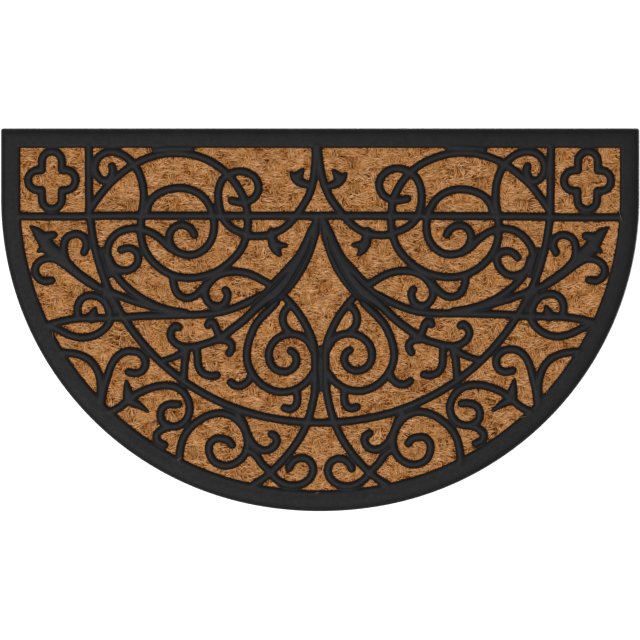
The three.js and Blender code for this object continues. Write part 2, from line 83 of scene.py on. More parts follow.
# Section of a rib: how the dome falls off to its shoulders, how the top edge is rounded and leans in the
# shading, how the foot flares just over the coir, and how sharply ribs join
RIB_WIDTH = 9.2
DOME_POWER = 2.2
EDGE_ROUND = 3.2
EDGE_SLOPE = 1.3
FOOT_FLARE = 0.45
FOOT_Z = COIR_TOP + 0.1
WALL_RISE = 0.1
JOIN_BLUR = 1
TOP_BLUR = 0.5
DOME_BLEND = 0.5
FIELD_REACH = 6
GROOVE_DEPTH = 1.8

# The distances in from the mat's edge between which a rib's crest runs out into the border
RUN_OUT = (17.5, 21)

# The straight bar and posts, how much lower the bar lies outside the posts, and how far the middle spire
# leans to the left at the top
BAR_V = 104.3
BAR_DROP = 0.6
BAR_EASE = 11
POST_U = 275.5
LEAN = 4.8
LEAN_REACH = 80

# The four-lobed ornament in the corner box
LOBES = dict(u=320, v=61.7, radius=12, across=16.5, along=22.4)

# How far the right half sits from the mirror image of the left one, near some points of the chart, as rows of
# (u, v, du, dv), and the reach of each point
SHIFT_REACH = 30
RIGHT_SHIFTS = np.array([
    (0, 18, -0.3, 0.5), (153, 24, 0.2, -2.4), (205, 36, -2.6, -1.1), (268, 42, -0.1, -0.1),
    (25, 62, -0.7, 2.7), (85, 53, -3.4, -4.5), (168, 70, 0.4, 4.1), (275, 97, -0.9, 1.3),
    (5, 112, 0, -1.2), (99, 124, -1.4, -1.4), (156, 117, 4.5, -0.2), (213, 105, -1.5, 0.5),
    (260, 144, 0.3, 1.3), (329, 131, -1.8, 1.2), (41, 182, -1.4, -0.2), (107, 171, -2.3, -1.3),
    (157, 176, -3.1, -0.5), (203, 152, -1.9, -0.9), (226, 193, 1.7, -1.6), (329, 180, -0.1, 0.7),
    (96, 230, 0.6, 0.9), (167, 236, -1.6, -2.7), (286, 202, 1.5, -3.2), (337, 239, 4.7, -4.3),
    (7, 262, 0.3, -0.7), (83, 290, 1.3, -1.9), (225, 264, 3.3, -2.6), (287, 268, -1.8, 0.3),
    (11, 335, 1.9, -0.6), (145, 349, -2.7, -2.1), (163, 300, 1.5, 0.5), (204, 338, 1.1, -1),
    (263, 330, -2, -0.9), (91, 353, 1.6, -1.8), (25, 422, 1.2, 1.3), (82, 422, -0.4, -0.7),
    (168, 406, 0.2, -2),
])

# The ribs of one half: a point is (u, v). A row without a width has the plain one, and a list of widths runs
# from start to end. A row with a side is for that side only: 1 is the right and -1 the left.
W = RIB_WIDTH
RIBS = [
    dict(name="great loop, upper", path=[(274.9, 97.1), (265.9, 84.1), (252, 67), (238, 54.5), (222.2, 43),
        (205.4, 35.3), (188.1, 30.6), (170, 29.4), (152.1, 31.5), (135.1, 37.2), (118.6, 47), (105.7, 59.8),
        (96, 73.3), (89, 88.4), (86.3, 106)]),
    dict(name="great loop, lower", path=[(86, 104), (87, 123), (93.1, 142), (105, 157), (121.9, 169.8),
        (139.9, 176.4), (157, 178.4), (174.3, 175.7), (191.1, 166.7), (204.6, 152.7), (212.4, 135.5),
        (214.1, 119.1), (212.8, 103)]),
    dict(name="great loop, crown web", width=[6, 8, 6], path=[(198, 25), (176, 24), (153, 24)]),
    dict(name="great loop, corner curl", path=[(213.7, 105), (210.5, 86), (211.2, 69.2), (215.9, 53.4),
        (224.4, 40.2), (236, 31.2), (249, 27.8), (261.1, 31.6), (268.3, 42), (267.4, 53.2), (260.3, 61.6),
        (252.7, 61.8), (248.3, 55), (247.4, 47.7), (248.5, 45)]),
    dict(name="arch with spiral", path=[(207.2, 98.5), (202.6, 86.7), (194.1, 78.4), (182.5, 73.3), (168, 71),
        (153.7, 73.3), (142.1, 79.7), (133.3, 90), (127.9, 103), (126.3, 117), (128.9, 131.1), (136.4, 142.6),
        (147.9, 149.8), (160, 150.8), (171.9, 146.4), (179.1, 136.1), (179.1, 124.5), (172.2, 116.9),
        (163.8, 115.2), (156.2, 118.2), (151.4, 123.4), (150, 127)]),
    dict(name="scroll", side=-1, path=[(169.3, 148.1), (179.4, 142.3), (189.8, 132.2), (202, 124),
        (216, 119.7), (230, 120.2), (242.4, 125.4), (251.3, 135.9), (253.7, 149.7), (248.9, 161.9),
        (238, 168.9), (226.2, 168.2), (218, 160.6), (217.4, 150.2), (223.7, 143.7), (230.8, 142.9),
        (237.4, 144.8)]),
    dict(name="scroll, right half", side=1, path=[(169, 149), (179.1, 143), (189.8, 132.2), (201.8, 123.8),
        (214.9, 119.4), (233, 121.5), (246.7, 132.1), (254.1, 147), (253.5, 159.7), (246.4, 169.6),
        (233, 176.4), (222.5, 174.6), (213.5, 164.8), (212.1, 154.9), (216.1, 148.9), (222.7, 146.4),
        (230.3, 148), (236, 154.3)]),
    dict(name="scroll web", width=[6, 7, 9, 9], path=[(260.3, 144.2), (257.3, 156.2), (253.1, 169.3),
        (251.3, 174.1)]),
    dict(name="scroll tail", path=[(251.3, 155.1), (246.2, 169.1), (238.1, 181.6), (226.1, 193.2),
        (210.3, 204.3), (193.6, 212.5), (177.4, 217.3), (160.3, 220.1)]),
    dict(name="spire and sweep", path=[(1.4, 18), (2.7, 39.9), (4.4, 51.7), (7.3, 65.9), (12.1, 79),
        (19.7, 91.8), (29.4, 104.8), (41.4, 117.6), (56.4, 125.6), (71.6, 128.5), (85.9, 128.3)]),
    dict(name="sweep loop", path=[(83.6, 127), (98.4, 122.5), (109.4, 115.3), (116.9, 104.6), (120.6, 90.8),
        (121.4, 76.1), (117.3, 62.5), (108.6, 54.8), (96.9, 51.2), (85, 53.4), (76.2, 60.6), (73.1, 71),
        (77, 81), (85, 86.6), (95, 88.1), (105.5, 85.9)]),
    dict(name="spire leaf, outer", width=[8, 9, 11.5, 10, 4], path=[(7.7, 67.8), (16.7, 66.3), (24.7, 62.3),
        (30.2, 56.8), (33.2, 52.6)]),
    dict(name="spire leaf, inner", width=[12, 9, 3.5], path=[(25.7, 59.2), (22.2, 53.7), (18, 48.5)]),
    dict(name="spire leaf, web", width=[12, 7], path=[(24.6, 61.3), (26.1, 54.8)]),
    dict(name="sweep leaf, outer", width=[10, 11, 13, 11, 5], path=[(57.6, 123.4), (56.8, 132.4),
        (54.4, 140.4), (50.6, 147.4), (47.9, 150.9)]),
    dict(name="sweep leaf, inner", width=[10, 8, 5], path=[(54.5, 137.5), (46.5, 139.5), (40.5, 139.5)]),
    dict(name="trunk", width=[9, 11, 15, 16.5, 17.8, 19.5, 22, 24, 25, 25, 23], path=[(3.4, 105.1),
        (4.6, 112.1), (7.5, 121.1), (10.8, 131.2), (14.7, 141.3), (19.3, 151.3), (25.1, 161.2), (32.7, 171.3),
        (41, 181.5), (50, 191), (56, 198)]),
    dict(name="lower branch", path=[(52.9, 191.5), (68.7, 198.6), (84.2, 206.3), (99.6, 213.3),
        (117.4, 218.7), (139.8, 221.8), (164.9, 222.5), (189.9, 223.2), (215, 223.9), (240, 225.7),
        (265, 226.3), (287.9, 226.8), (305.8, 229.6), (321.8, 233.8), (336.9, 239.4)]),
    dict(name="upper branch", path=[(55.8, 188.1), (67.6, 181.8), (79.8, 175.3), (93.2, 171.5),
        (107.1, 171.2), (120.3, 174.7), (130.6, 182.5), (136.9, 194), (134.7, 205.2), (125.7, 212.2),
        (115.5, 209.9), (110.7, 202.1), (110.7, 195.6), (113, 192.8)]),
    dict(name="hanging loop", path=[(175.9, 176), (174.3, 187.3), (169.6, 197.7), (160.3, 202.4),
        (149.6, 200), (141.9, 193), (134.6, 184.3)]),
    dict(name="lily", width=[2, 12, 17, 17, 14, 11, W, W, W], path=[(346.3, 116.3), (338.2, 122.8),
        (330.4, 132.4), (323.6, 142.3), (313.5, 150.4), (304, 158.8), (292.4, 169.2), (281.1, 178),
        (268.9, 186.2)]),
    dict(name="lily lobe", width=[10, 9.5, 9.5], path=[(331.2, 129.1), (323.2, 127.6), (318.2, 127.1)]),
    dict(name="lily barb", width=[12, 9, 4], path=[(324.3, 137.7), (331.3, 143.2), (336.3, 146.7)]),
    dict(name="lily hook, right", path=[(298.7, 164.1), (304.6, 152.7), (305.8, 140.5), (302.9, 131.1),
        (296.1, 126.8), (288.9, 126), (281.6, 130.1), (278.6, 138.7), (281.6, 147.6)]),
    dict(name="lily hook, left", path=[(178.3, 217.7), (195.3, 213.9), (210.3, 209.6), (225.4, 204.9),
        (240.4, 199.2), (255.1, 193.3), (270, 187.5), (282, 180), (294.1, 171.1), (306.2, 161.6),
        (317.2, 155.6), (326.7, 155.3), (335.5, 159.3), (340, 167.4), (337.6, 176.5), (329.8, 182.2),
        (320.4, 181.3)]),
    dict(name="eye over its lens", path=[(288.8, 224.2), (289.2, 212.5), (285.3, 204), (276.5, 199.5),
        (265.6, 200.6), (257, 206.8), (251.8, 217.9), (251.1, 230.9), (259.3, 241), (270.8, 247.4),
        (284, 249.6), (297.2, 247.1), (310.5, 241), (322.5, 235.1)]),
    dict(name="eye web", width=[9, 10, 10], path=[(256.5, 196.2), (251.7, 206.9), (247.5, 216.5)]),
    dict(name="eye thorn", width=[14, 3], path=[(272.3, 225.4), (267.8, 213.4)]),
    dict(name="side arc", path=[(320.3, 267.6), (300.3, 267.8), (287.5, 270), (275.3, 276.1), (267.1, 286.1),
        (262.7, 298), (261.6, 311), (262.6, 330)]),
    dict(name="side curl", path=[(261.1, 330), (258.4, 312.2), (254.4, 298.4), (249.8, 284.5), (243.6, 273.9),
        (234.8, 267.2), (225.1, 265.6), (215.5, 268), (209.5, 274.4), (208.4, 282.9), (213.4, 290.3),
        (221.6, 292.3), (228.5, 290.5)]),
    dict(name="thorned scroll", path=[(254, 340), (240, 333.1), (224.7, 321.1), (212.5, 313.8), (199.8, 309),
        (187, 306.6), (174.2, 307.9), (164.4, 313.5), (157.7, 323.2), (155.5, 335), (158.9, 346.2),
        (166.9, 353.9), (178.4, 355.5), (188.1, 350.1), (190.5, 340.4), (186.9, 332.4), (178.8, 329),
        (169.2, 329)]),
    dict(name="upper thorn", width=[14, 9, 3], path=[(228.3, 320.5), (229.8, 311.5), (231.3, 300.5)]),
    dict(name="lower thorn", width=[11, 8, 2.5], path=[(226.1, 325.4), (215.1, 330.9), (204.6, 338.4)]),
    dict(name="thorned scroll tail", path=[(179.1, 355.9), (188.3, 359.1), (195, 365.6), (193.8, 373),
        (185.7, 377.7)]),
    dict(name="floor spiral", path=[(168, 406), (167, 385), (163.3, 370.1), (155.6, 358.1), (145, 348.9),
        (132, 342), (118, 339.8), (104.5, 343.7), (93.8, 353), (87.4, 366.1), (86.8, 380.7), (93.1, 393.1),
        (104.3, 400.9), (115.9, 402.2), (126.9, 397), (132.3, 386.1), (131.6, 376.4), (124.9, 370.3),
        (116.7, 370.2), (109.1, 372.5), (105.1, 377.5)]),
    dict(name="floor hook", path=[(98, 341), (91, 353), (85.8, 366.3), (78.6, 377.8), (67.7, 384.1),
        (57.4, 381.8), (51.7, 373.6), (53.6, 367), (58, 364.8)]),
    dict(name="floor leg", path=[(87.9, 382.9), (77.3, 389.2), (69.8, 399.8), (61.1, 408)]),
    dict(name="middle stem", path=[(46.3, 197.3), (36.3, 207.3), (27.5, 217.9), (20.1, 229.2), (13.7, 241.1),
        (8.6, 254), (6.3, 268), (5.8, 285), (5.8, 301), (6.9, 318.1), (10.5, 335.1), (15, 350.1),
        (20.5, 362.8), (28.2, 375.6), (37.5, 388), (47.1, 398.9), (56.8, 408.6), (67.1, 417.4),
        (79.7, 425.5)]),
    dict(name="foot hook", path=[(59.7, 409.3), (51.5, 419), (39, 425.3), (24.4, 425.2), (12.8, 418.5),
        (7.9, 407.2), (11.4, 397.7), (19.1, 393.5), (27.4, 394.3), (33.9, 399.3), (37, 405.5)]),
    dict(name="middle branch", width=[13, 10.5, 10, 10, 10, 10], path=[(59, 199.8), (74.4, 212.2),
        (84.2, 222.2), (94.6, 231.7), (104.8, 239.4), (117, 249.2)]),
    dict(name="branch curl, right", path=[(125.2, 252.1), (113.6, 252.7), (106.5, 255.9), (105.3, 262.3),
        (108.4, 268.1)]),
    dict(name="branch curl, top", path=[(119.4, 248.2), (123.7, 239.4), (126.4, 232.6), (131.2, 230.7),
        (134, 234.6)]),
    dict(name="branch curl, left", path=[(121.1, 251.5), (136.3, 256.7), (149.7, 260.2), (162.9, 260.7),
        (172.9, 256), (178.3, 248.1), (177.1, 240.2), (171.9, 235.5), (168.5, 237.3)]),
    dict(name="branch leg", path=[(158, 261), (161, 275), (162, 288), (163, 300)]),
    dict(name="branch foot", path=[(147.8, 259.9), (146.1, 271.9), (145.5, 282.2), (140.5, 291.5),
        (131.5, 295.2), (123, 294.5)]),
    dict(name="branch stay", width=[9, 8, 7], path=[(160.2, 264.5), (172.2, 272), (192.2, 278.5)]),
    dict(name="teardrop", path=[(52.5, 207.5), (60, 215.5), (68, 223.5), (75.5, 232.5), (81, 243), (86, 258),
        (87.2, 275.2), (82.8, 289.4), (74.7, 300.8), (63.5, 309.6), (50.2, 314.3), (38, 314), (26.5, 310.1),
        (16.2, 302.8), (8.1, 291.9)]),
    dict(name="teardrop hook", path=[(81.2, 291.4), (85.5, 301.1), (93.3, 306.7), (101.7, 306.6),
        (106.7, 302.8)]),
    dict(name="teardrop tail", path=[(28.7, 311), (27, 321), (28.6, 330.1), (35.4, 335.1), (42.3, 333.4)]),
    dict(name="teardrop spiral", path=[(8.5, 263.6), (14.2, 253.8), (23, 247.6), (34.1, 245.3), (46.3, 248),
        (55.8, 255.6), (60.9, 267), (59.5, 279.4), (52.4, 287.8), (41.6, 290.3), (32.3, 286.2), (28.1, 277.1),
        (30.1, 269.1), (35.1, 265.4)]),
    dict(name="stem web", width=[3, 6, 7, 6, 3], path=[(0, 261), (0, 274), (0, 287), (0, 300), (0, 313)]),
    dict(name="teardrop link", path=[(35.1, 209.8), (42.7, 218.7), (44.6, 227.2), (42.3, 236), (36.2, 243)]),
    dict(name="bar", path=[(WIDTH / 2 - RIB_REACH, BAR_V + BAR_DROP), (POST_U + BAR_EASE, BAR_V + BAR_DROP),
        (POST_U - BAR_EASE, BAR_V), (0, BAR_V)]),
    dict(name="post", path=[(POST_U + 0.5, 18), (POST_U, BAR_V)]),
]

# The grooves between ribs that run side by side, as their middle lines
GROOVES = [
    dict(name="between the stems", width=[1, 5, 6, 5, 1], path=[(-0.3, 262.7), (-1.1, 274.5), (-1.7, 287.2),
        (-1.3, 300.2), (-0.5, 313.1)]),
    dict(name="along the trunk", width=[1, 5, 6, 6, 6, 5, 1], path=[(8.8, 127.7), (14.7, 146.9), (21, 158.9),
        (29.6, 174.3), (38.5, 188.5), (48.6, 200.9), (59.3, 208.3), (78.1, 222.8)]),
    dict(name="above the middle branch", width=[1, 5, 6, 6, 4], path=[(37.8, 170.8), (48.4, 182.1),
        (57.4, 190.7), (66.2, 197.6), (77.3, 205.4)]),
    dict(name="beside the teardrop", width=[1, 4, 4, 3], path=[(38.4, 194.4), (44.6, 202.7), (49.5, 210.6)]),
    dict(name="beside the scroll", width=[1, 4, 5, 4, 1], path=[(261.7, 143.2), (259.4, 153.1),
        (256.4, 163.9), (252.4, 175.8), (248.4, 185.1)]),
    dict(name="beside the eye", width=[1, 4, 5, 2], path=[(257.1, 198), (252.4, 204.8), (248.5, 211.9),
        (245.5, 219.3)]),
]

# How finely the pieces are cut, in millimetres
RIB_STEP = 2
RUBBER_PITCH = 1.45
COIR_PITCH = 2.7

# How many steps curves have, and how many steps of the side arc there are to one of the nose
STEPS = dict(rib=24, corner=6, edge=150, ring=60, lobe=16)
SIDE_TO_NOSE = 6

# The fill of an underside takes points this close for one, and keeps what its outermost rim encloses
FILL_TOLERANCE = 0.00001
INSIDE_OUTER_RIM = 1

# Lengths under this count as none, a place between nodes stays this many steps off the last one, and the
# tray's edges stay sharp over this angle in degrees
TINY = 0.000001
OFF_LAST = 1.001
SHARP_ANGLE = 50

# The tray from its underside up the outer edge, over the border and into the slot, as (inset, height)
TRAY_PROFILE = [
    (1.4, 0), (0.4, 0.25), (0, 1), (0, 3.3), (0.3, 4.3), (1, 5.7), (2.2, 7.2), (4, 8.3), (6.3, 9), (9, 9.32),
    (12, BORDER_TOP), (17.4, BORDER_TOP), (17.7, 9.37), (18.1, 9.36), (18.2, GRILLE_BOTTOM),
    (COIR_INSET - GAP, GRILLE_BOTTOM), (COIR_INSET - GAP, BASE_TOP),
]

# The coir's weave: the middle of a cell where the wefts are on top, one cell to the right, one cell down, and
# the cells that cover the mat. Two wefts lie side by side over one cell in two, and one broad warp over the
# others.
WEAVE_ORIGIN = np.array([8.2, 203.8])
WEAVE_RIGHT = np.array([24.66, -0.78])
WEAVE_DOWN = np.array([1.37, 14.75])
WEAVE_COLUMNS = np.arange(-17, 18)
WEAVE_ROWS = np.arange(-15, 19)
YARNS = [
    dict(name="upper weft", over=0, across=-3.7, length=40, width=6.6, level=0, tone=0.56, strands=17),
    dict(name="lower weft", over=0, across=3.7, length=40, width=6.6, level=0, tone=0.56, strands=17),
    # The warp's lower tone is painted shade for its lower lie between the wefts
    dict(name="warp", over=1, across=0, length=20.5, width=13, level=-0.3, tone=0.46, strands=15),
]
YARN_DIP = 0.5
YARN_SIDE = 0.4
YARN_LOWEST = -1.4
WEAVE_SUNK = 0.8

# How much a value differs from yarn to yarn, from strand to strand and from fibre to fibre. Lengths are in
# millimetres and angles in degrees.
SPREADS = dict(length=(0.5, 2.5, 1.5), across=(0.2, 0.35, 0.42), along=(0.5, 1, 0.8), angle=(5, 20, 5),
               bow=(0.004, 0.02, 0.004), lie=(0.1, 0.18, 0.07), tone=(0.03, 0.07, 0.05))

# The fibres of the yarns, pressed down beside the rubber, and those that lie over them or on the rubber
STRAND_FIBRES = 3
STRAND_STAGGER = 0.618
FIBRE_LENGTH = 10
FIBRE_LENGTHS = (4, 18)
FIBRE_POINTS = 3
FIBRE_RADIUS = (0.36, 0.56)
FIBRE_LAYER = 0.45
FIBRE_TAPER = 0.35
FIBRE_PIECES = 4
PILE_OVER = 0.8
PILE_UNDER = 1.2
PILE_EASE = 5
HIDDEN_UNDER_BORDER = 0.5
BOW_POINTS = 6
LOOSE = dict(count=2200, heading=0.7, length=(7, 20), bow=0.02, lift=0.25, tone=(0.62, 0.2),
             radius=(0.14, 0.26))
STRAY = dict(count=26, inset=20, spread=3, length=(4, 13), bow=0.05, lift=0.2, tone=(0.6, 1), radius=0.12)

# Where the weave has drifted to the right and down: rows of (x, right, down) and of (v, right, down)
DRIFT_BY_X = np.array([(-350, -2.6, -5), (-270, -0.2, -3.2), (-200, 1.8, 0), (-110, 2.3, 1.7),
                       (-18, -0.7, -0.7), (60, -0.9, 1.1), (107, -2.3, 1.8), (190, 0, 0.5),
                       (255, -2.4, -0.7), (320, -0.2, -3)])
DRIFT_BY_V = np.array([(25, -0.2, 0.5), (110, -0.3, -1), (204, 0.4, -0.8), (285, 1.2, 2.4),
                       (345, -1.1, -0.7), (383, -3.5, -1.1), (420, -2.9, 0.4)])

# Colours, as linear red, green and blue
RUBBER_DARK = (0.0052, 0.005, 0.0055)
RUBBER_LIGHT = (0.0074, 0.0072, 0.008)
# Painted highlight: the paler colour that the rubber takes towards the tops of the ribs
RUBBER_CREST_HIGHLIGHT = (0.0088, 0.0088, 0.01)
RUBBER_DUST = (0.02, 0.018, 0.016)
FIBRE_TONES = [(0, (0.11, 0.032, 0.004)), (0.22, (0.25, 0.093, 0.024)), (0.42, (0.39, 0.196, 0.073)),
               (0.7, (0.5, 0.273, 0.124)), (1, (0.62, 0.37, 0.205))]
# The coir under the fibres, painted darker than them as painted shade for the gaps between the fibres
WEAVE_SHADED_TONES = [(0.38, (0.04, 0.009, 0.001)), (0.5, (0.18, 0.057, 0.009)), (0.64, (0.36, 0.16, 0.046))]
FLOOR_COLOUR = (0.93, 0.93, 0.93)
BLACK = (0, 0, 0)
WHITE = (1, 1, 1)

# The rubber's roughness from its satin to its matt spots, as greys
SATIN = (0.5, 0.5, 0.5)
MATT = (0.62, 0.62, 0.62)

# The Mix node's colour sockets, which share their names with others
MIX_FIRST, MIX_SECOND, MIX_RESULT = 6, 7, 2

# The stage, in metres and watts: a floor just under the mat, even light all round and one soft lamp
FLOOR_SIZE = 60
FLOOR_DROP = 0.0002
WORLD_STRENGTH = 0.45
LIGHT = dict(place=(-1.3, -1.3, 5.9), size=4, energy=520)

# The photograph's frame, how many of its pixels the mat spans, the lens in millimetres, and how many metres
# it sees
PHOTO_PIXELS = 640
MAT_PIXELS = 639
LENS = 200
FARTHEST_SEEN = 100


def lerp(a, b, t):
    return a + (b - a) * t


def smoothstep(low, high, value):
    t = np.clip((value - low) / (high - low), 0, 1)
    return t * t * (3 - 2 * t)


def smooth_max(a, b, blend):
    """The larger of two heights, rounded off where they are within blend of each other."""
    near = np.clip(blend - np.abs(a - b), 0, None) / blend
    return np.maximum(a, b) + near * near * blend / 4


def blur(values, sigma):
    """A Gaussian blur, sigma in grid steps."""
    radius = math.ceil(3 * sigma)
    weights = np.exp(-0.5 * (np.arange(-radius, radius + 1) / sigma) ** 2)
    weights /= weights.sum()
    for axis in (0, 1):
        padding = [(radius, radius) if a == axis else (0, 0) for a in (0, 1)]
        padded = np.pad(values, padding, mode="edge")
        length = values.shape[axis]
        values = sum(w * padded.take(range(i, i + length), axis) for i, w in enumerate(weights))
    return values


def right_shift(u, v):
    """How far a point of the right half sits from the mirror image of the left one, as (u, v)."""
    away = np.hypot(RIGHT_SHIFTS[:, 0] - u, RIGHT_SHIFTS[:, 1] - v) / SHIFT_REACH
    near = np.exp(-away ** 2 / 2)
    return near @ RIGHT_SHIFTS[:, 2:] / near.sum()


def place(side, u, v):
    """A point of the chart in the plan (x, v): side is 1 on the right and -1 on the left."""
    if side == 1:
        u, v = (u, v) + right_shift(u, v)
    lean = LEAN * max(0, 1 - v / BAR_V) * max(0, 1 - u / LEAN_REACH)
    return side * u - lean, v


def resample(points):
    """Points along a line of straight stretches, about RIB_STEP apart."""
    lengths = np.concatenate([[0], np.cumsum(np.linalg.norm(np.diff(points, axis=0), axis=1))])
    at = np.linspace(0, lengths[-1], math.ceil(lengths[-1] / RIB_STEP) + 1)
    return np.column_stack([np.interp(at, lengths, points[:, c]) for c in (0, 1)])


def smooth_curve(points):
    """A centripetal Catmull-Rom curve through the points."""
    points = np.array(points, float)
    if len(points) == 2:
        return points
    via = np.vstack([2 * points[0] - points[1], points, 2 * points[-1] - points[-2]])
    t = np.linspace(0, 1, STEPS["rib"], endpoint=False)[:, None]
    stretches = []
    for p0, p1, p2, p3 in zip(via[:-3], via[1:-2], via[2:-1], via[3:]):
        d0, d1, d2 = (math.sqrt(np.linalg.norm(b - a)) for a, b in ((p0, p1), (p1, p2), (p2, p3)))
        m1 = ((p1 - p0) / d0 - (p2 - p0) / (d0 + d1) + (p2 - p1) / d1) * d1
        m2 = ((p2 - p1) / d1 - (p3 - p1) / (d1 + d2) + (p3 - p2) / d2) * d1
        c2 = 3 * (p2 - p1) - 2 * m1 - m2
        c3 = 2 * (p1 - p2) + m1 + m2
        stretches.append(p1 + m1 * t + c2 * t ** 2 + c3 * t ** 3)
    return np.vstack([*stretches, points[-1:]])


def arc(centre, radius, start, end, steps):
    """Points (u, v) on an arc, with angles in radians from +u towards +v."""
    angles = np.linspace(start, end, steps)
    return np.column_stack([centre[0] + radius * np.cos(angles), centre[1] + radius * np.sin(angles)])


def round_edge(inset, steps):
    """The round edge at a distance in from it, right half, from the side down to the centre line."""
    meet = math.atan2(SIDE_V - NOSE_V, SIDE_U)
    side = arc((SIDE_U, SIDE_V), SIDE_RADIUS - inset, 0, meet, steps)
    nose = arc((0, NOSE_V), NOSE_RADIUS - inset, meet, math.pi / 2, steps // SIDE_TO_NOSE)
    return np.vstack([side, nose[1:]])


def mirrored(right):
    """A right half that ends on the centre line, carried on over the left half."""
    return np.vstack([right, right[-2::-1] * (-1, 1)])


def outline(inset):
    """The mat's outline at a distance in from its edge, as (x, v), anticlockwise from above."""
    corner_at = (WIDTH / 2 - inset - CORNER_RADIUS, inset + CORNER_RADIUS)
    corner = arc(corner_at, CORNER_RADIUS, -math.pi / 2, 0, STEPS["corner"])
    return mirrored(np.vstack([corner, round_edge(inset, STEPS["edge"])]))[::-1]


def inset_at(x, v):
    """How far in from the mat's edge the points of the plan lie."""
    u = np.abs(x)
    on_nose = u * (SIDE_V - NOSE_V) < SIDE_U * (v - NOSE_V)
    from_side = SIDE_RADIUS - np.hypot(u - SIDE_U, v - SIDE_V)
    from_nose = NOSE_RADIUS - np.hypot(u, v - NOSE_V)
    side = np.where(v > SIDE_V, from_side, WIDTH / 2 - u)
    return np.minimum(v, np.where(on_nose, from_nose, side))


def drawn(side, row):
    """A row of RIBS or GROOVES as its line of (x, v) points and the half width at each."""
    line = resample(smooth_curve([place(side, u, v) for u, v in row["path"]]))
    widths = np.atleast_1d(row.get("width", W))
    share = np.linspace(0, len(widths) - 1, len(line))
    return line, np.interp(share, range(len(widths)), widths) / 2


def rib_lines():
    """Every rib as its line of (x, v) points and the half width at each."""
    lines = []
    for side in (-1, 1):
        lines += [drawn(side, row) for row in RIBS if row.get("side", side) == side]
        lines += [(lobe, np.full(len(lobe), W / 2)) for lobe in lobes(side)]
    ring = ring_arc()
    lines.append((ring, np.full(len(ring), W / 2)))
    return lines


def ring_arc():
    """The arc inside the grille, from the foot of one post round to the foot of the other."""
    edge = round_edge(RING_ARC_INSET, STEPS["ring"])
    right = np.vstack([[(POST_U, BAR_V)], edge[edge[:, 1] > BAR_V + W]])
    return resample(mirrored(right))


def lobes(side):
    """The corner ornament: four straight-sided loops at right angles."""
    radius = LOBES["radius"]
    for quarter, reach in enumerate((LOBES["across"], LOBES["along"]) * 2):
        bow = arc((reach, 0), radius, -math.pi / 2, math.pi / 2, STEPS["lobe"])
        loop = np.vstack([[(radius, -radius)], bow, [(radius, radius)]])
        turn = quarter * math.pi / 2
        turned = loop @ np.array([[math.cos(turn), math.sin(turn)], [-math.sin(turn), math.cos(turn)]])
        points = [place(side, LOBES["u"] + u, LOBES["v"] + v) for u, v in turned]
        yield resample(np.array(points))


class Grid:
    """Nodes over the plan, a pitch apart in x and in v."""

    def __init__(self, inset, pitch):
        half = WIDTH / 2 - inset + 2 * pitch
        self.x = np.arange(-half, half, pitch)
        self.v = np.arange(inset - 2 * pitch, DEPTH - inset + 2 * pitch, pitch)
        self.pitch = pitch
        self.inset = inset_at(self.x[None, :], self.v[:, None])

    def full(self, value):
        return np.full((len(self.v), len(self.x)), float(value))

    def window(self, line, margin):
        """The rows and columns of the nodes within a margin of some points."""
        low, high = line.min(axis=0) - margin, line.max(axis=0) + margin
        return (slice(*np.searchsorted(self.v, (low[1], high[1]))),
                slice(*np.searchsorted(self.x, (low[0], high[0]))))

    def sample(self, values, x, v):
        """The values at the nodes nearest to some points."""
        column = np.clip(np.rint((x - self.x[0]) / self.pitch).astype(int), 0, len(self.x) - 1)
        row = np.clip(np.rint((v - self.v[0]) / self.pitch).astype(int), 0, len(self.v) - 1)
        return values[row, column]

    def between(self, values, x, v):
        """The values at some points, evened out between the four nodes round each."""
        across = np.clip((x - self.x[0]) / self.pitch, 0, len(self.x) - OFF_LAST)
        down = np.clip((v - self.v[0]) / self.pitch, 0, len(self.v) - OFF_LAST)
        column, row = across.astype(int), down.astype(int)
        upper = lerp(values[row, column], values[row, column + 1], across - column)
        lower = lerp(values[row + 1, column], values[row + 1, column + 1], across - column)
        return lerp(upper, lower, down - row)


def stamp(grid, line, halves, inside, share):
    """Marks how far inside a rib each node is, and at which share of the way from its crest to its side."""
    for a, b, half_a, half_b in zip(line[:-1], line[1:], halves[:-1], halves[1:]):
        rows, columns = grid.window(np.array([a, b]), FIELD_REACH + max(half_a, half_b))
        x = grid.x[columns][None, :] - a[0]
        v = grid.v[rows][:, None] - a[1]
        step = b - a
        t = np.clip((x * step[0] + v * step[1]) / (step @ step), 0, 1)
        away = np.hypot(x - t * step[0], v - t * step[1])
        half = lerp(half_a, half_b, t)
        np.maximum(inside[rows, columns], half - away, out=inside[rows, columns])
        np.minimum(share[rows, columns], away / half, out=share[rows, columns])


def rubber_fields(grid):
    """Over the plan: how far inside the grille or the border a node is, and the height of the top there."""
    inside = grid.full(-FIELD_REACH)
    rise = grid.full(-FIELD_REACH)
    crest = RIB_TOP - SHOULDER
    for line, halves in rib_lines():
        rib_inside = grid.full(-FIELD_REACH)
        share = grid.full(FIELD_REACH)
        stamp(grid, line, halves, rib_inside, share)
        near = grid.window(line, FIELD_REACH + halves.max())
        inside[near] = np.maximum(inside[near], rib_inside[near])
        rise[near] = smooth_max(rise[near], crest * (1 - share[near] ** DOME_POWER), DOME_BLEND)
    border = LIP_INSET + NOSE_WIDER * smoothstep(NOSE_V, DEPTH, grid.v)[:, None] - grid.inset
    border_rise = (BORDER_TOP - SHOULDER) * smoothstep(0, EDGE_ROUND, border)
    run_out = smoothstep(*RUN_OUT, grid.inset)
    rise = np.where(border > 0, np.maximum(lerp(border_rise, rise, run_out), border_rise), rise)
    inside = blur(np.maximum(inside, border), JOIN_BLUR / grid.pitch)
    rise = np.clip(rise, 0, None) * smoothstep(0, EDGE_ROUND, inside)
    share = grid.full(FIELD_REACH)
    for side in (-1, 1):
        for row in GROOVES:
            stamp(grid, *drawn(side, row), grid.full(0), share)
    rise -= GROOVE_DEPTH * (1 - smoothstep(0, 1, share))
    return inside, SHOULDER + blur(rise, TOP_BLUR / grid.pitch)


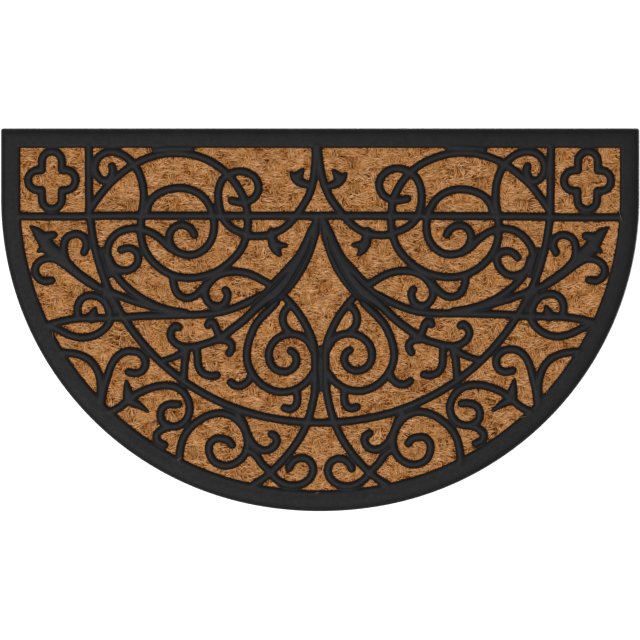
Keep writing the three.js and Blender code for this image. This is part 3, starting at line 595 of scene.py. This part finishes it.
# The corners of a cell are 0 to 3 and the middles of its sides 4 to 7, in turn. A key adds up the corners
# that are inside, as 1, 2, 4 and 8, and its rows are the faces that fill the inside part of the cell.
CELL_FACES = {
    1: [(0, 4, 7)], 2: [(4, 1, 5)], 3: [(0, 1, 5, 7)], 4: [(5, 2, 6)], 5: [(0, 4, 7), (5, 2, 6)],
    6: [(4, 1, 2, 6)], 7: [(0, 1, 2, 6, 7)], 8: [(6, 3, 7)], 9: [(0, 4, 6, 3)], 10: [(4, 1, 5), (6, 3, 7)],
    11: [(0, 1, 5, 6, 3)], 12: [(5, 2, 3, 7)], 13: [(0, 4, 5, 2, 3)], 14: [(4, 1, 2, 3, 7)],
    15: [(0, 1, 2, 3)],
}


def contoured(grid, inside, fields):
    """The part of the plan where inside is over 0, as faces cut exactly along its edge.

    fields are further values at the nodes. Gives one row for each vertex (x, v, then the fields) and the
    faces.
    """
    x, v = np.meshgrid(grid.x, grid.v)
    values = np.stack([x, v, *fields], axis=-1)
    kept = inside > 0
    count = np.count_nonzero(kept)
    node = np.full(kept.shape, -1)
    node[kept] = np.arange(count)
    rows = [values[kept]]
    crossings = []
    for a, b in ((np.s_[:, :-1], np.s_[:, 1:]), (np.s_[:-1], np.s_[1:])):
        crossed = kept[a] != kept[b]
        t = (inside[a] / np.where(crossed, inside[a] - inside[b], 1))[crossed][:, None]
        rows.append(lerp(values[a][crossed], values[b][crossed], t))
        index = np.full(crossed.shape, -1)
        index[crossed] = count + np.arange(np.count_nonzero(crossed))
        count += np.count_nonzero(crossed)
        crossings.append(index)
    level, upright = crossings
    corners = (node[:-1, :-1], node[:-1, 1:], node[1:, 1:], node[1:, :-1])
    cell = np.stack([*corners, level[:-1], upright[:, 1:], level[1:], upright[:, :-1]], axis=-1)
    key = sum((corner >= 0) * 2 ** i for i, corner in enumerate(corners))
    faces = [cell[key == k][:, face[::-1]] for k, listed in CELL_FACES.items() for face in listed]
    return np.vstack(rows), [f for f in faces if len(f)]


def rim_of(faces):
    """The edges that only one face has, each in the direction of its face."""
    starts = np.concatenate([f.ravel() for f in faces])
    ends = np.concatenate([np.roll(f, -1, axis=1).ravel() for f in faces])
    most = max(starts.max(), ends.max()) + 1
    alone = ~np.isin(starts * most + ends, ends * most + starts)
    return np.column_stack([starts[alone], ends[alone]])


def to_model(x, v, z):
    """Plan points and heights in millimetres as points of the model in metres."""
    return np.column_stack([x, DEPTH / 2 - v, z]) * MM


def new_piece(name, points, faces, material):
    """A smooth shaded mesh piece that rides on the mat's one body."""
    mesh = bpy.data.meshes.new(name)
    mesh.from_pydata(points.tolist(), [], [f for group in faces for f in np.asarray(group).tolist()])
    mesh.shade_smooth()
    mesh.materials.append(material)
    piece = bpy.data.objects.new(name, mesh)
    bpy.context.scene.collection.objects.link(piece)
    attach(piece, "root")
    return piece


def slab(name, grid, inside, top, foot, flare, material, slope=None):
    """A closed piece: its top follows a field of heights, and its sides go down to a flat underside.

    slope gives extra slope to the shading near the top edge, as a field, so that the edge looks rounded.
    """
    edge_v, edge_x = np.gradient(inside, grid.pitch)
    top_v, top_x = np.gradient(top, grid.pitch)
    steep = grid.full(0) if slope is None else slope
    fields = (top, edge_x, edge_v, -top_x - steep * edge_x, top_v + steep * edge_v)
    rows, faces = contoured(grid, inside, fields)
    x, v, z, out_x, out_v, normal_x, normal_y = rows.T
    rim = rim_of(faces)
    ring, back = np.unique(rim, return_inverse=True)
    low = len(rows) + back.reshape(rim.shape)
    outward = np.column_stack([out_x, out_v])[ring]
    outward /= np.maximum(np.linalg.norm(outward, axis=1, keepdims=True), TINY)
    walls = np.column_stack([rim[:, 1], rim[:, 0], low[:, 0], low[:, 1]])
    underside = len(rows) + filled(grid, inside, x[ring], v[ring], low - len(rows))
    foot_x, foot_v = x[ring] - flare * outward[:, 0], v[ring] - flare * outward[:, 1]
    points = np.vstack([to_model(x, v, z), to_model(foot_x, foot_v, np.full(len(ring), foot))])
    piece = new_piece(name, points, [*faces, walls, underside], material)
    if slope is not None:
        normals = np.vstack([
            np.column_stack([normal_x, normal_y, np.ones(len(rows))]),
            np.column_stack([-outward[:, 0], outward[:, 1], np.full(len(ring), WALL_RISE)]),
        ])
        normals /= np.linalg.norm(normals, axis=1, keepdims=True)
        piece.data.normals_split_custom_set_from_vertices(normals.tolist())
    return piece


def filled(grid, inside, x, v, edges):
    """Triangles that face down and fill the flat shape inside some closed rims, holes left open."""
    corners = [Vector(at) for at in zip(x, -v)]
    made = geometry.delaunay_2d_cdt(corners, edges.tolist(), [], INSIDE_OUTER_RIM, FILL_TOLERANCE)
    triangles, origins = made[2], made[3]
    triangles = np.array([[origins[corner][0] for corner in triangle[::-1]] for triangle in triangles])
    return triangles[grid.between(inside, x[triangles].mean(axis=1), v[triangles].mean(axis=1)) > 0]


def tray(material):
    """The plain back and the border as one closed piece, from the underside up, over and into the slot."""
    rings = []
    for inset, z in TRAY_PROFILE:
        line = outline(inset)
        rings.append(to_model(line[:, 0], line[:, 1], np.full(len(line), z)))
    count = len(rings[0])
    one = np.arange(count)
    after = np.roll(one, -1)
    wall = np.column_stack([one, after, after + count, one + count])
    walls = [wall + r * count for r in range(len(rings) - 1)]
    underside = [one[::-1]]
    floor_of_slot = [one + (len(rings) - 1) * count]
    piece = new_piece("rubber_tray", np.vstack(rings), [*walls, underside, floor_of_slot], material)
    piece.data.set_sharp_from_angle(angle=math.radians(SHARP_ANGLE))
    return piece


def drift(x, v):
    """How far the weave has moved to the right and down at some points of the plan."""
    return [np.interp(x, DRIFT_BY_X[:, 0], by_x) + np.interp(v, DRIFT_BY_V[:, 0], by_v)
            for by_x, by_v in zip(DRIFT_BY_X.T[1:], DRIFT_BY_V.T[1:])]


def yarn_height(yarn, across, along):
    """The top of a yarn over the plain weave, at a place across and along it from its middle."""
    side, end = 2 * across / yarn["width"], 2 * along / yarn["length"]
    return yarn["level"] - YARN_SIDE * np.abs(side) ** 3 - YARN_DIP * end ** 2


def weave_height(x, v):
    """The height of the woven coir over the plan."""
    right, down = drift(x, v)
    undrifted = np.broadcast_arrays(x - right - WEAVE_ORIGIN[0], v - down - WEAVE_ORIGIN[1])
    cells = np.stack(undrifted, axis=-1) @ np.linalg.inv([WEAVE_RIGHT, WEAVE_DOWN])
    nearest = np.rint(cells)
    over = nearest.sum(axis=-1) % 2
    aside, below = np.moveaxis((cells - nearest) * (WEAVE_RIGHT[0], WEAVE_DOWN[1]), -1, 0)
    weft, _, warp = YARNS
    run = np.where(over == 0, aside, WEAVE_RIGHT[0] - np.abs(aside))
    weft_top = yarn_height(weft, np.abs(below) + weft["across"], run)
    warp_top = yarn_height(warp, aside, below)
    return COIR_TOP - WEAVE_SUNK + np.where(over == 0, weft_top, np.maximum(weft_top, warp_top))


def yarn_fibres(yarn):
    """The fibres of one row of YARNS in all its cells: their points (x, v, z), radius and tone.

    A yarn is a few strands, and the fibres of a strand share its heading, height and tone.
    """
    column, row = (a.ravel() for a in np.meshgrid(WEAVE_COLUMNS, WEAVE_ROWS, indexing="ij"))
    chosen = (column + row) % 2 == yarn["over"]
    middle = (WEAVE_ORIGIN + column[:, None] * WEAVE_RIGHT + row[:, None] * WEAVE_DOWN)[chosen]
    along_way, across_way = (way / np.linalg.norm(way) for way in (WEAVE_RIGHT, WEAVE_DOWN))
    if yarn["over"] == 1:
        along_way, across_way = across_way, along_way
    shape = (len(middle), yarn["strands"], STRAND_FIBRES)

    def spread(name):
        """Random values around 0 with that row of SPREADS."""
        of_yarn, of_strand, of_fibre = SPREADS[name]
        return (random.normal(0, of_yarn, (shape[0], 1, 1)) + random.normal(0, of_strand, (*shape[:2], 1))
                + random.normal(0, of_fibre, shape))

    strand = np.arange(yarn["strands"])[None, :, None]
    start = random.uniform(0, 1, (shape[0], 1, 1))
    length = np.clip(FIBRE_LENGTH + spread("length"), *FIBRE_LENGTHS)
    across = yarn["across"] + yarn["width"] * ((strand + 0.5) / yarn["strands"] - 0.5) + spread("across")
    share = (strand * STRAND_STAGGER + start) % 1 - 0.5
    along = share * np.maximum(yarn["length"] - length, 0) + spread("along")
    angle = np.radians(spread("angle"))
    bow = spread("bow")
    lie = spread("lie")
    run = np.linspace(-0.5, 0.5, FIBRE_POINTS) * length[..., None]
    along = along[..., None] + run * np.cos(angle)[..., None]
    across = across[..., None] + run * np.sin(angle)[..., None] + bow[..., None] * run ** 2
    height = np.maximum(yarn_height(yarn, across - yarn["across"], along), YARN_LOWEST)
    z = COIR_TOP - WEAVE_SUNK + FIBRE_LAYER + lie[..., None] + height
    plan = middle[:, None, None, None] + along[..., None] * along_way + across[..., None] * across_way
    x, v = plan.reshape(-1, FIBRE_POINTS, 2).transpose(2, 0, 1)
    right, down = drift(x, v)
    tone = (yarn["tone"] + spread("tone")).ravel()
    return x + right, v + down, z.reshape(-1, FIBRE_POINTS), random.uniform(*FIBRE_RADIUS, len(tone)), tone


def woven_fibres(grid, inside):
    """The fibres of all the yarns that the rubber leaves open."""
    parts = [settled(grid, inside, *yarn_fibres(yarn)) for yarn in YARNS]
    return [np.concatenate(values) for values in zip(*parts)]


def bowed(x, v, heading, row):
    """The plan points of slightly bowed fibres through some middles, for LOOSE or STRAY."""
    length = random.uniform(*row["length"], row["count"])[:, None]
    bow = random.normal(0, row["bow"], row["count"])[:, None]
    run = np.linspace(-1, 1, BOW_POINTS)[None, :] * length / 2
    x = x + run * np.cos(heading) - bow * run ** 2 * np.sin(heading)
    v = v + run * np.sin(heading) + bow * run ** 2 * np.cos(heading)
    return x, v


def loose_fibres(grid, inside):
    """Single longer fibres that lie across the weave in any direction."""
    count = LOOSE["count"]
    x = random.uniform(-WIDTH / 2, WIDTH / 2, count)[:, None]
    v = random.uniform(COIR_INSET, DEPTH, count)[:, None]
    x, v = bowed(x, v, random.normal(0, LOOSE["heading"], count)[:, None], LOOSE)
    z = weave_height(x, v) + FIBRE_LAYER + random.uniform(0, LOOSE["lift"], x.shape)
    tone = np.clip(random.normal(*LOOSE["tone"], count), 0, 1)
    return settled(grid, inside, x, v, z, random.uniform(*LOOSE["radius"], count), tone)


def pressed(under, over):
    """The most that the coir reaches at a distance inside the rubber, up to a height over it in the open."""
    return COIR_TOP + lerp(-PILE_UNDER, over, smoothstep(0, PILE_EASE, -under))


def settled(grid, inside, x, v, z, radius, tone):
    """Fibres pressed down beside and under the rubber, without those that the rubber or the border hides."""
    under = grid.sample(inside, x, v)
    z = np.minimum(z, pressed(under, PILE_OVER) - radius[:, None])
    seen = (under < 0).any(axis=1) & (inset_at(x, v) > COIR_INSET + HIDDEN_UNDER_BORDER).all(axis=1)
    return np.stack([x, v, z], axis=-1)[seen], radius[seen], np.clip(tone[seen], 0, 1)


def fibre_piece(name, lines, radius, tone, material):
    """Thin three-sided fibres with closed, narrow ends as one piece."""
    count, steps = lines.shape[:2]
    line = to_model(*lines.reshape(-1, 3).T).reshape(count, steps, 3)
    forward = np.gradient(line, axis=1)
    sideways = np.cross(forward, (0, 0, 1))
    sideways /= np.linalg.norm(sideways, axis=2, keepdims=True)
    upward = np.cross(sideways, forward)
    upward /= np.linalg.norm(upward, axis=2, keepdims=True)
    taper = np.ones(steps)
    taper[[0, -1]] = FIBRE_TAPER
    thick = (radius[:, None] * taper * MM)[..., None]
    ring = [line + thick * (math.cos(a) * sideways + math.sin(a) * upward)
            for a in (math.pi / 2, math.pi * 7 / 6, math.pi * 11 / 6)]
    points = np.stack(ring, axis=2).reshape(-1, 3)
    start = np.arange(count)[:, None] * steps * 3 + np.arange(steps - 1) * 3
    quads = [np.stack([start + a, start + b, start + b + 3, start + a + 3], axis=-1).reshape(-1, 4)
             for a, b in ((0, 1), (1, 2), (2, 0))]
    first = np.arange(count)[:, None] * steps * 3
    last = first + (steps - 1) * 3
    caps = [first + (2, 1, 0), last + (0, 1, 2)]
    piece = new_piece(name, points, [*quads, *caps], material)
    shade = piece.data.attributes.new("tone", "FLOAT", "POINT")
    shade.data.foreach_set("value", np.repeat(tone, steps * 3).astype(np.float32))
    return piece


def stray_fibres(grid, top, material):
    """Single pale fibres that lie on the rubber along the edge of the coir."""
    count, inset = STRAY["count"], STRAY["inset"]
    line = outline(inset)
    at = line[random.integers(0, len(line), count)] + random.normal(0, STRAY["spread"], (count, 2))
    x, v = bowed(at[:, :1], at[:, 1:], random.uniform(0, math.pi, count)[:, None], STRAY)
    z = grid.sample(top, x, v) + STRAY["lift"]
    kept = (inset_at(x, v) > inset).all(axis=1)
    lines = np.stack([x, v, z], axis=-1)[kept]
    tone = random.uniform(*STRAY["tone"], len(lines))
    return fibre_piece("stray_fibres", lines, np.full(len(lines), STRAY["radius"]), tone, material)


class Nodes:
    """A material and its node tree, with one Principled shader."""

    def __init__(self, name):
        self.material = bpy.data.materials.new(name)
        self.material.use_nodes = True
        self.tree = self.material.node_tree
        self.shader = self.tree.nodes["Principled BSDF"]

    def set(self, node, inputs):
        """Sets sockets of a node to values, or links them to other sockets."""
        for name, value in inputs.items():
            socket = node.inputs[name.replace("_", " ")]
            if isinstance(value, bpy.types.NodeSocket):
                self.tree.links.new(value, socket)
            else:
                socket.default_value = value

    def add(self, kind, **inputs):
        """A new node of that kind."""
        node = self.tree.nodes.new(kind)
        self.set(node, inputs)
        return node

    def shade(self, **inputs):
        """Sets or links sockets of the shader."""
        self.set(self.shader, inputs)

    def noise(self, scale, detail):
        """Noise over the object, scale in features a metre."""
        place_in = self.add("ShaderNodeTexCoord").outputs["Object"]
        return self.add("ShaderNodeTexNoise", Vector=place_in, Scale=scale, Detail=detail).outputs["Fac"]

    def ramp(self, value, stops):
        """Colours or greys along a value, as (position, colour) stops."""
        node = self.add("ShaderNodeValToRGB", Fac=value)
        elements = node.color_ramp.elements
        while len(elements) < len(stops):
            elements.new(0.5)
        for element, (position, colour) in zip(elements, stops):
            element.position = position
            element.color = (*colour, 1)
        return node.outputs["Color"]

    def bump(self, height, distance):
        return self.add("ShaderNodeBump", Height=height, Distance=distance).outputs["Normal"]

    def shifted(self, value, noise, amount):
        """A value with a noise added to it, from minus the amount to plus the amount."""
        shift = self.add("ShaderNodeMapRange", Value=noise, To_Min=-amount, To_Max=amount)
        node = self.add("ShaderNodeMath")
        self.tree.links.new(value, node.inputs[0])
        self.tree.links.new(shift.outputs["Result"], node.inputs[1])
        return node.outputs[0]

    def mix(self, share, colour, other):
        """A linked colour that changes to a fixed one by a linked share."""
        node = self.tree.nodes.new("ShaderNodeMix")
        node.data_type = "RGBA"
        self.tree.links.new(share, node.inputs["Factor"])
        self.tree.links.new(colour, node.inputs[MIX_FIRST])
        node.inputs[MIX_SECOND].default_value = (*other, 1)
        return node.outputs[MIX_RESULT]


def rubber_material():
    """Black moulded rubber: mottled, finely grained, with coir dust, and with a painted highlight that makes
    the crests paler.
    """
    nodes = Nodes("rubber")
    mottle = nodes.ramp(nodes.noise(scale=60, detail=4), [(0.3, RUBBER_DARK), (0.7, RUBBER_LIGHT)])
    place_on = nodes.add("ShaderNodeTexCoord").outputs["Object"]
    height = nodes.add("ShaderNodeSeparateXYZ", Vector=place_on).outputs["Z"]
    # Painted highlight: the colour turns paler from the border's height up to the tops of the ribs
    crest = nodes.add("ShaderNodeMapRange", Value=height, From_Min=BORDER_TOP * MM, From_Max=RIB_TOP * MM)
    crest_highlighted = nodes.mix(crest.outputs["Result"], mottle, RUBBER_CREST_HIGHLIGHT)
    dust = nodes.ramp(nodes.noise(scale=900, detail=3), [(0.62, BLACK), (0.76, WHITE)])
    colour = nodes.mix(dust, crest_highlighted, RUBBER_DUST)
    rough = nodes.ramp(nodes.noise(scale=220, detail=3), [(0.3, SATIN), (0.7, MATT)])
    nodes.shade(Base_Color=colour, Roughness=rough, Specular_IOR_Level=0.085)
    nodes.shade(Normal=nodes.bump(nodes.noise(scale=2600, detail=2), distance=0.00006))
    return nodes.material


def fibre_material():
    """Coir fibres: each has its own tone, from dark brown to straw, with a slight change along it."""
    nodes = Nodes("coir_fibre")
    tone = nodes.add("ShaderNodeAttribute")
    tone.attribute_name = "tone"
    varied = nodes.shifted(tone.outputs["Fac"], nodes.noise(scale=90, detail=5), amount=0.45)
    nodes.shade(Base_Color=nodes.ramp(varied, FIBRE_TONES), Roughness=0.75, Specular_IOR_Level=0.0)
    nodes.shade(Normal=nodes.bump(nodes.noise(scale=3500, detail=2), distance=0.00005))
    return nodes.material


def weave_material():
    """The matted coir under the fibres that lie on top, with coarse fibrous streaks, painted darker than the
    fibres as painted shade for the gaps between them.
    """
    nodes = Nodes("coir_weave")
    streaks = nodes.shifted(nodes.noise(scale=620, detail=3), nodes.noise(scale=70, detail=3), amount=0.26)
    nodes.shade(Base_Color=nodes.ramp(streaks, WEAVE_SHADED_TONES), Roughness=0.9, Specular_IOR_Level=0.0)
    nodes.shade(Normal=nodes.bump(streaks, distance=0.0006))
    return nodes.material


def floor_material():
    nodes = Nodes("pale_floor")
    nodes.shade(Base_Color=(*FLOOR_COLOUR, 1), Roughness=0.9, Specular_IOR_Level=0.1)
    return nodes.material


def build_mat():
    """The rubber, the coir and their fibres."""
    rubber, fibre, weave = rubber_material(), fibre_material(), weave_material()
    grid = Grid(SEAM_INSET, RUBBER_PITCH)
    inside, top = rubber_fields(grid)
    to_seam = grid.inset - SEAM_INSET
    rounding = EDGE_SLOPE * np.clip(1 - inside / EDGE_ROUND, 0, 1) ** 2
    grille = slab("rubber_grille", grid, np.minimum(inside, to_seam), top, FOOT_Z, FOOT_FLARE, rubber,
                  slope=rounding)
    base = tray(rubber)
    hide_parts("rubber_moulding")
    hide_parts("rubber_moulding")

    coarse = Grid(COIR_INSET, COIR_PITCH)
    over_x, over_v = coarse.x[None, :], coarse.v[:, None]
    woven = np.minimum(weave_height(over_x, over_v), pressed(grid.sample(inside, over_x, over_v), 0))
    panel = slab("coir_sheet", coarse, coarse.inset - COIR_INSET, woven, COIR_BOTTOM, 0, weave)
    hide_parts("coir_panel")
    lines, radius, tone = woven_fibres(grid, inside)
    strip = np.argsort(lines[:, 0, 0], kind="stable")
    fibres = [fibre_piece(f"coir_fibres_{i + 1}", lines[part], radius[part], tone[part], fibre)
              for i, part in enumerate(np.array_split(strip, FIBRE_PIECES))]
    fibres.append(fibre_piece("coir_loose_fibres", *loose_fibres(grid, inside), fibre))
    fibres.append(stray_fibres(grid, top, fibre))
    cut = outline(COIR_INSET) * MM


def build_stage():
    """A pale floor, soft light from above and a long lens straight over the mat."""
    bpy.ops.mesh.primitive_plane_add(size=FLOOR_SIZE, location=(0, 0, -FLOOR_DROP))
    floor = bpy.context.object
    floor.name = "floor"
    floor.data.materials.append(floor_material())
    world = bpy.data.worlds.new("studio")
    world.use_nodes = True
    background = world.node_tree.nodes["Background"].inputs
    background["Color"].default_value = (*WHITE, 1)
    background["Strength"].default_value = WORLD_STRENGTH
    bpy.context.scene.world = world
    light = bpy.data.lights.new("key", "AREA")
    light.size = LIGHT["size"]
    light.energy = LIGHT["energy"]
    lamp = bpy.data.objects.new("key", light)
    lamp.location = LIGHT["place"]
    lamp.rotation_euler = (-lamp.location).to_track_quat("-Z", "Y").to_euler()
    bpy.context.scene.collection.objects.link(lamp)
    lens = bpy.data.cameras.new("camera")
    lens.lens = LENS
    camera = bpy.data.objects.new("camera", lens)
    width_in_view = PHOTO_PIXELS * WIDTH * MM / MAT_PIXELS
    camera.location = (0, 0, RIB_TOP * MM + width_in_view * LENS / lens.sensor_width)
    lens.clip_end = FARTHEST_SEEN
    bpy.context.scene.collection.objects.link(camera)
    bpy.context.scene.camera = camera
    bpy.context.scene.view_settings.view_transform = "Standard"


build_mat()
build_stage()
